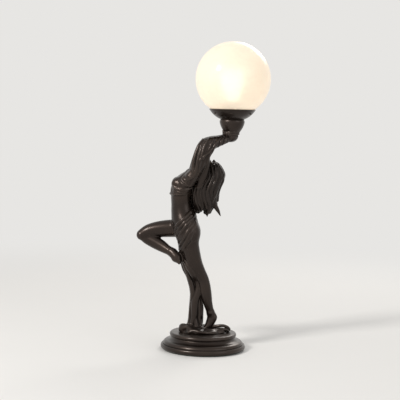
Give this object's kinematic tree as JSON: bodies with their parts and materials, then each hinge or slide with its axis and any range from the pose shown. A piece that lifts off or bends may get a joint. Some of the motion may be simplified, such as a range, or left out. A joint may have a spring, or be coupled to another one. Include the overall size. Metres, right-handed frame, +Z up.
{
  "type": "figural table lamp",
  "caption": "Figural table lamp: a dancer on tiptoe on a stepped round base leans back and holds up a round glass globe in a bowl-shaped holder.",
  "frame": {"origin": "middle of the felt face that the lamp rests on", "axes": "+Z up, the dancer looks along -X, and +Y is at the back of the pictured view, so the lamp's cord inlet faces +Y"},
  "size_m": [0.2788, 0.1799, 0.654],
  "materials": {
    "bronze": "satin",
    "iron": "matte",
    "steel": "satin",
    "felt": "matte",
    "rubber": "matte",
    "white_plastic": "satin",
    "holder_plastic": "satin",
    "lead_sheath": "satin",
    "brass": "satin",
    "solder": "satin",
    "aluminium": "satin",
    "opal_glass": "satin",
    "bulb_glass": "satin"
  },
  "bodies": {
    "stand": {"plinth": "bronze", "drapery_column": "bronze", "drapery_puddle": "bronze", "standing_leg": "bronze", "raised_leg": "bronze", "torso": "bronze", "hip_drape": "bronze", "head": "bronze", "hair": "bronze", "near_arm": "bronze", "far_arm": "bronze", "hands": "bronze", "knob_cup": "bronze", "gallery_bowl": "bronze", "ballast_ring": "iron", "bottom_plate": "steel", "bottom_plate_screws": "steel", "felt_pad": "felt", "cord_grommet": "rubber", "conduit_nut": "steel", "terminal_block": "white_plastic", "terminal_screws": "brass", "conduit_tube": "steel", "internal_lead": "lead_sheath", "bowl_nut": "steel", "seat_ring": "rubber", "lampholder_cap": "holder_plastic", "lampholder_shell": "holder_plastic", "lampholder_contact": "brass"},
    "globe": {"globe": "opal_glass", "globe_shoulder": "opal_glass", "globe_neck": "opal_glass"},
    "gallery_screw_1": {"gallery_screw_1": "bronze"},
    "gallery_screw_2": {"gallery_screw_2": "bronze"},
    "gallery_screw_3": {"gallery_screw_3": "bronze"},
    "bulb_cap": {"bulb_cap": "aluminium", "bulb_contact": "solder"},
    "bulb_glass": {"bulb_glass": "bulb_glass"}
  },
  "joints": [
    {"name": "globe_lift", "type": "slide", "parent": "stand", "child": "globe", "axis": [0, 0, 1], "range_m": [0, 0.105]},
    {"name": "gallery_screw_1_out", "type": "slide", "parent": "stand", "child": "gallery_screw_1", "axis": [0, 1, 0], "range_m": [0, 0.005]},
    {"name": "gallery_screw_2_out", "type": "slide", "parent": "stand", "child": "gallery_screw_2", "axis": [-0.866, -0.5, 0], "range_m": [0, 0.005]},
    {"name": "gallery_screw_3_out", "type": "slide", "parent": "stand", "child": "gallery_screw_3", "axis": [0.866, -0.5, 0], "range_m": [0, 0.005]},
    {"name": "bulb_rise", "type": "slide", "parent": "stand", "child": "bulb_cap", "axis": [0, 0, 1], "range_m": [0, 0.01089]},
    {"name": "bulb_turn", "type": "hinge", "parent": "bulb_cap", "child": "bulb_glass", "pos_m": [0.051, 0, 0.57], "axis": [0, 0, 1], "range_deg": [0, 1080]}
  ],
  "couplings": [
    {"joint": "bulb_rise", "follows": "bulb_turn", "m_per_rad": 0.00057773}
  ]
}
